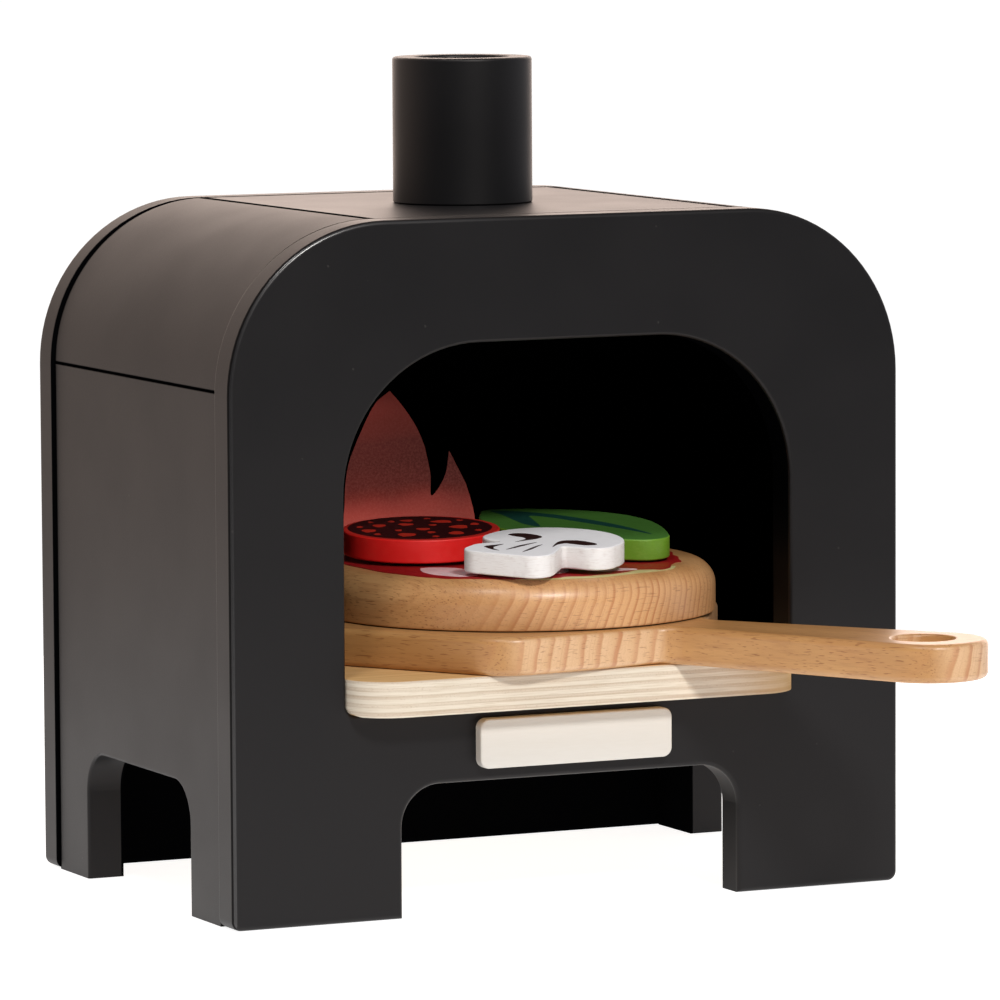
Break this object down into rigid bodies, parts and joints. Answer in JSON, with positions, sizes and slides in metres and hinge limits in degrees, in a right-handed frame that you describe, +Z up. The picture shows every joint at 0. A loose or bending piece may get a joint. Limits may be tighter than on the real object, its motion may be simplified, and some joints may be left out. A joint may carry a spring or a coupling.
{
  "type": "toy pizza oven",
  "caption": "Wooden play pizza oven with rounded top corners, short round chimney and arched mouth, with a peel, a pizza base and lift-off toppings.",
  "frame": {"origin": "on the floor, at the middle of the back panel's foot: half-way along its width and half-way through its thickness", "axes": "+Z up along the chimney's bore, +Y out of the plain back panel, so the mouth looks towards -Y; +X to the right as seen from the front"},
  "size_m": [0.23, 0.2518, 0.2625],
  "materials": {
    "black_paint": "satin black paint on smooth board",
    "plywood": "bare pale plywood, sealed",
    "cleat_wood": "bare softwood batten",
    "dowel_wood": "bare hardwood dowel",
    "plaque_wood": "pale wood, matt",
    "beech": "oiled beech",
    "red_paint": "satin red paint on wood",
    "white_paint": "satin white paint on wood",
    "green_paint": "satin green paint on wood",
    "loop_fabric": "soft loop side of hook-and-loop tape",
    "hook_fabric": "hook side of hook-and-loop tape",
    "screw_steel": "zinc-plated steel screw"
  },
  "bodies": {
    "oven": {"front_panel": "black_paint", "back_panel": "black_paint", "left_side_panel": "black_paint", "right_side_panel": "black_paint", "left_corner": "black_paint", "right_corner": "black_paint", "top_panel": "black_paint", "chimney": "black_paint", "chimney_screws": "screw_steel", "oven_floor": "plywood", "left_floor_cleat": "cleat_wood", "right_floor_cleat": "cleat_wood", "front_plaque": "plaque_wood", "front_dowels": "dowel_wood", "back_dowels": "dowel_wood"},
    "peel": {"peel": "beech"},
    "pizza": {"pizza_base": "beech", "loop_dots": "loop_fabric"},
    "salami": {"salami_slice": "red_paint", "salami_hook_dot": "hook_fabric"},
    "mushroom": {"mushroom_slice": "white_paint", "mushroom_hook_dot": "hook_fabric"},
    "leaf": {"basil_leaf": "green_paint", "leaf_hook_dot": "hook_fabric"}
  },
  "joints": [
    {"name": "peel_slide", "type": "slide", "parent": "oven", "child": "peel", "axis": [0, -1, 0], "range_m": [0, 0.15]},
    {"name": "pizza_lift", "type": "slide", "parent": "peel", "child": "pizza", "axis": [0, 0, 1], "range_m": [0, 0.03]},
    {"name": "salami_lift", "type": "slide", "parent": "pizza", "child": "salami", "axis": [0, 0, 1], "range_m": [0, 0.012]},
    {"name": "mushroom_lift", "type": "slide", "parent": "pizza", "child": "mushroom", "axis": [0, 0, 1], "range_m": [0, 0.012]},
    {"name": "leaf_lift", "type": "slide", "parent": "pizza", "child": "leaf", "axis": [0, 0, 1], "range_m": [0, 0.012]}
  ]
}
